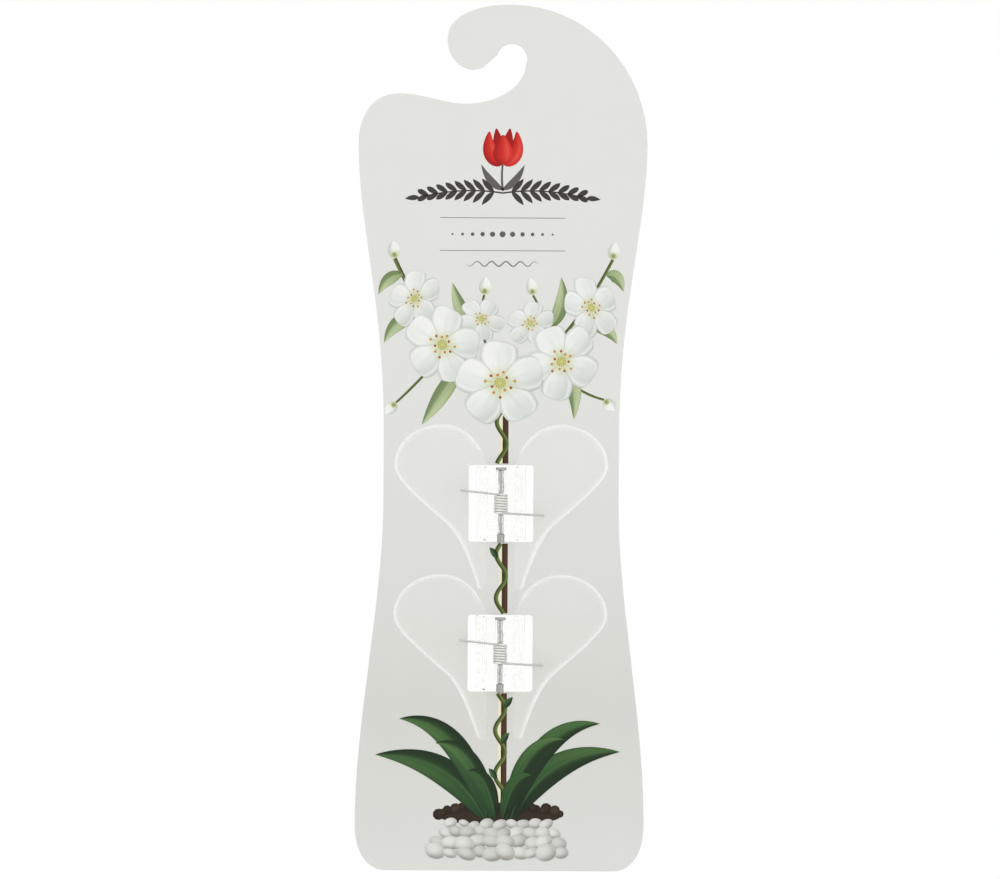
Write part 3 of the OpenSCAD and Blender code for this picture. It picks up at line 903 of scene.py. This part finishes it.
def foot_bed(art):
    """The foot: a fan of long leaves that rises from dark earth over a bank of pale pebbles."""
    root = np.array([MIDDLE_X, ROOT_Z])
    random = np.random.default_rng(5)
    art.put(*dot(root, 15.5, lambda r, x, z: mixed(EARTH, EARTH * 0.6, z), 3, 48, 5, squash=0.17))
    for k, angle in enumerate(np.linspace(4, 176, 30)):
        at = root + 15 * toward(angle) * [1, 0.15] + random.uniform(-0.4, 0.4, 2)
        clod = EARTH * random.uniform(0.7, 1.7)
        tone = lambda r, x, z: mixed(clod * 1.3, clod * 0.5, r - 0.4 * z)
        art.put(*dot(at, random.uniform(0.7, 1.5), tone, 4 + k % 4, 9, 3))
    fan = ((-31, 15, 3.2, 0.5), (30, 16, 3.0, 0.6), (-25, 24, 2.7, 0.8), (25, 23, 2.5, 0.7),
           (-16, 18, 2.2, 0.9), (16, 19, 2.1, 0.9), (-8, 11, 2.0, 0.3), (8, 10, 1.9, 0.3))
    for k, (across, rise, width, light) in enumerate(fan):
        tip = root + [across, rise]
        leaf(art, root + [0.12 * across, -0.8], root + [0.38 * across, rise * 1.02], tip, width, light, 8 + k)
    bank = ((9, 12.0, 2.2, 1.7), (10, 13.6, 4.4, 2.0), (10, 14.8, 6.8, 2.2), (10, 15.4, 9.4, 2.2))
    for row, (count, half, drop, radius) in enumerate(bank):
        for k in range(count):
            grey = random.uniform(0.82, 1.04)
            body = lambda r, x, z: mixed(STONE_LIGHT * grey, STONE * grey, 0.2 + r ** 2 * 0.9 - 0.5 * (z - x))
            stone = lambda r, x, z: mixed(body(r, x, z), STONE_DARK, 0.8 * eased(0.3 * x - z - 0.1) * r)
            at = root + [half * (2 * k / (count - 1) - 1), -drop] + random.uniform(-0.5, 0.5, 2)
            art.put(*dot(at, radius * random.uniform(0.8, 1.2), stone, 16 + 3 * row + k % 3, 26, 7,
                         squash=random.uniform(0.6, 0.85), turn=random.uniform(-25, 25)))


def print_card():
    for name, draw in (("printed_heading", ornament), ("printed_garland", garland),
                       ("printed_climber", climber), ("printed_bed", foot_bed)):
        art = Print()
        draw(art)
        art.finish(name)


dress_card()
print_card()


# The clips

def moved(mesh, name, mirror, place):
    """A copy of a mesh, mirrored to the left if asked, at a clip's place."""
    copy = mesh.copy()
    copy.name = name
    co = np.empty(len(copy.vertices) * 3)
    copy.vertices.foreach_get("co", co)
    co = co.reshape(-1, 3) * [-1 if mirror else 1, 1, 1] + np.asarray(place) * MM
    copy.vertices.foreach_set("co", co.ravel())
    return copy


HALVES = {side: half_mesh(side) for side in KNUCKLES}


def clip_half(clip, side):
    name = f"{clip}_{side}_half"
    piece = finish_mesh(name, moved(HALVES[side], name, side == "left", HINGE[clip]), [CLEAR, CLEAR_JAW])
    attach(piece, f"{clip}_{side}")
    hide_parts(f"{clip}_{side}_wing")


def hinge_pin(clip):
    """A straight pin with a flat head above and a thick end below."""
    foot = rod_profile(FOOT_R, PIN_FOOT, FOOT_HIGH, FOOT_EDGE)
    head = rod_profile(KNUCKLE_R, HEAD_LOW, PIN_TOP, TURNED_EDGE)
    profile = np.r_[foot[:-2], [[PIN_R + 0.1, FOOT_HIGH], [PIN_R, FOOT_HIGH + 0.1], [PIN_R, HEAD_LOW - 0.05]],
                    head[1:]]
    piece = loft(clip + "_turned_pin", turned(profile) + HINGE[clip], [PIN_STEEL])
    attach(piece, clip + "_hinge")
    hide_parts(clip + "_hinge_pin")


def wire_half(clip, side):
    """Half of a torsion spring: a straight leg, then half of the close turns as a helix about the hinge axis.
    The wire is a circle carried along that path, and its free end a low dome. The leg is the same wire as the
    coil but has a darker colour, which is painted shade, and the coil's lighter colour is painted highlight."""
    leg_end, start = (RIGHT_END, -1) if side == "right" else (LEFT_END, 1)
    a = np.linspace(0, np.pi * TURNS, TURN_ROWS * TURNS // 2 + 1)
    height = start * COIL_LEN * (0.5 - a / (2 * np.pi * TURNS))
    turn = np.stack([start * COIL_R * np.sin(a), -COIL_R * np.cos(a), height], -1)
    reach = np.linspace(0, 1, LEG_ROWS + 1)[:-1, None]
    path = np.r_[leg_end * (1 - reach) + turn[0] * reach, turn]
    along = unit(np.gradient(path, axis=0))
    up = unit(np.array([0, 0, 1]) - along[:, 2:] * along)
    aside = np.cross(along, up)
    b = np.linspace(0, 2 * np.pi, 14, endpoint=False)
    ring = np.cos(b)[None, :, None] * up[:, None] + np.sin(b)[None, :, None] * aside[:, None]
    radius = np.r_[WIRE_R * LEG_END_SHARE, np.full(LEG_ROWS - 1, WIRE_R), np.full(len(turn), COIL_WIRE_R)]
    rings = path[:, None] + radius[:, None, None] * ring + HINGE[clip]
    piece = loft(f"{clip}_spring_{side}_half", rings, [COIL_STEEL_PAINTED_HIGHLIGHT, LEG_STEEL_PAINTED_SHADE], smooth_under=50)
    # The leg's faces take the darker steel, which is painted shade
    leg_faces = np.zeros(len(piece.data.polygons), np.int32)
    leg_faces[:(LEG_ROWS - 1) * len(b)] = 1
    leg_faces[-2] = 1
    piece.data.polygons.foreach_set("material_index", leg_faces)
    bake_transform(piece)
    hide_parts(clip + "_spring")


for clip in CLIPS:
    for side in KNUCKLES:
        clip_half(clip, side)
        wire_half(clip, side)
    hinge_pin(clip)


# Camera, lamps, floor and backdrop

IMAGE_W = 0.25
CAMERA_AT = (-0.00244, -1.2, -0.09509)
SENSOR = 36.0
CAMERA_ROLL = -0.34
FLOOR_Z = -0.36
FLOOR_R = 0.9
FLOOR_GLOW = 0.2
WORLD_LIGHT = 0.74
CARD_MIDDLE = np.array([0, 0, CAMERA_AT[2]])
# Each lamp's name, place, width and height, power, and whether it shows in reflections
LAMPS = (("key", (-1.3, -1.6, 0.7), (1.2, 1.2), 3.1, True),
         ("fill", (1.5, -1.4, -0.05), (1.2, 1.2), 3.1, True),
         ("left_strip", (-0.95, -0.45, -0.12), (0.16, 0.3), 0.9, False),
         ("right_strip", (0.95, -0.45, -0.12), (0.16, 0.3), 0.9, False),
         ("top_strip", (-0.1, -0.5, 0.85), (0.6, 0.2), 0.7, True),
         ("left_low_strip", (-0.36, -0.28, -0.31), (0.1, 0.24), 0.15, False),
         ("right_low_strip", (0.36, -0.28, -0.31), (0.1, 0.24), 0.15, False),
         ("back", (0.4, 1.6, 0.7), (1.2, 1.2), 9, True))


def make_camera():
    """At the photograph's straight front view, a quarter metre wide at the card."""
    camera = bpy.data.objects.new("camera", bpy.data.cameras.new("camera"))
    camera.data.sensor_width = SENSOR
    camera.data.lens = SENSOR * -CAMERA_AT[1] / IMAGE_W
    camera.location = CAMERA_AT
    camera.rotation_euler = (math.radians(90), math.radians(CAMERA_ROLL), 0)
    bpy.context.scene.collection.objects.link(camera)
    bpy.context.scene.camera = camera


def make_lamp(name, place, size, power, mirrored):
    """A soft box that looks at the middle of the card."""
    lamp = bpy.data.objects.new(name, bpy.data.lights.new(name, "AREA"))
    lamp.data.shape = "RECTANGLE"
    lamp.data.size, lamp.data.size_y = size
    lamp.data.energy = power
    lamp.location = place
    away = np.array(place) - CARD_MIDDLE
    flat = math.hypot(away[0], away[1])
    lamp.rotation_euler = (math.atan2(flat, away[2]), 0, math.atan2(away[1], away[0]) + math.pi / 2)
    lamp.visible_glossy = mirrored
    bpy.context.scene.collection.objects.link(lamp)


def white_to_eye(tree):
    """1 for camera, glossy and transmission rays that no matt surface has scattered, else 0."""
    rays = add(tree, "LightPath")
    total = rays.outputs["Is Camera Ray"]
    for name in ("Is Glossy Ray", "Is Transmission Ray"):
        both = add(tree, "Math", operation="MAXIMUM")
        tree.links.new(total, both.inputs[0])
        tree.links.new(rays.outputs[name], both.inputs[1])
        total = both.outputs[0]
    direct = add(tree, "Math", operation="LESS_THAN", inputs={1: 0.5})
    tree.links.new(rays.outputs["Diffuse Depth"], direct.inputs[0])
    product = add(tree, "Math", operation="MULTIPLY")
    tree.links.new(total, product.inputs[0])
    tree.links.new(direct.outputs[0], product.inputs[1])
    return product.outputs[0]


def make_world():
    """Even pale light, shown as plain white."""
    world = bpy.data.worlds.new("studio")
    bpy.context.scene.world = world
    world.use_nodes = True
    tree = world.node_tree
    lit = tree.nodes["Background"]
    lit.inputs["Color"].default_value = (1, 1, 1, 1)
    lit.inputs["Strength"].default_value = WORLD_LIGHT
    shown = add(tree, "Background", inputs={"Color": (1, 1, 1, 1), "Strength": 1.0})
    mix = add(tree, "MixShader")
    tree.links.new(white_to_eye(tree), mix.inputs["Fac"])
    tree.links.new(lit.outputs[0], mix.inputs[1])
    tree.links.new(shown.outputs[0], mix.inputs[2])
    tree.links.new(mix.outputs[0], tree.nodes["World Output"].inputs["Surface"])


def make_floor():
    """A plain pale disc under the hanging card. For the eye it passes into plain white, more so far out."""
    made, tree, shader = new_material("pale_floor")
    shader.inputs["Base Color"].default_value = (0.92, 0.92, 0.92, 1)
    shader.inputs["Roughness"].default_value = 0.9
    place = add(tree, "TexCoord").outputs["Object"]
    reach = add(tree, "VectorMath", operation="LENGTH")
    tree.links.new(place, reach.inputs[0])
    far = add(tree, "MapRange", inputs={"From Max": FLOOR_R, "To Min": FLOOR_GLOW, "To Max": 1.0})
    tree.links.new(reach.outputs["Value"], far.inputs["Value"])
    share = add(tree, "Math", operation="MULTIPLY")
    tree.links.new(white_to_eye(tree), share.inputs[0])
    tree.links.new(far.outputs["Result"], share.inputs[1])
    white = add(tree, "Emission", inputs={"Color": (1, 1, 1, 1), "Strength": 1.0})
    mix = add(tree, "MixShader")
    tree.links.new(share.outputs[0], mix.inputs["Fac"])
    tree.links.new(shader.outputs["BSDF"], mix.inputs[1])
    tree.links.new(white.outputs[0], mix.inputs[2])
    tree.links.new(mix.outputs[0], tree.nodes["Material Output"].inputs["Surface"])
    a = np.linspace(0, 2 * np.pi, 96, endpoint=False)
    rim = np.c_[FLOOR_R * np.cos(a), FLOOR_R * np.sin(a), np.full(len(a), FLOOR_Z)]
    mesh = bpy.data.meshes.new("floor")
    mesh.from_pydata(rim.tolist(), [], [list(range(len(a)))])
    mesh.materials.append(made)
    floor = bpy.data.objects.new("floor", mesh)
    bpy.context.scene.collection.objects.link(floor)


make_camera()
make_world()
make_floor()
for lamp in LAMPS:
    make_lamp(*lamp)
bpy.context.scene.view_settings.view_transform = "Standard"
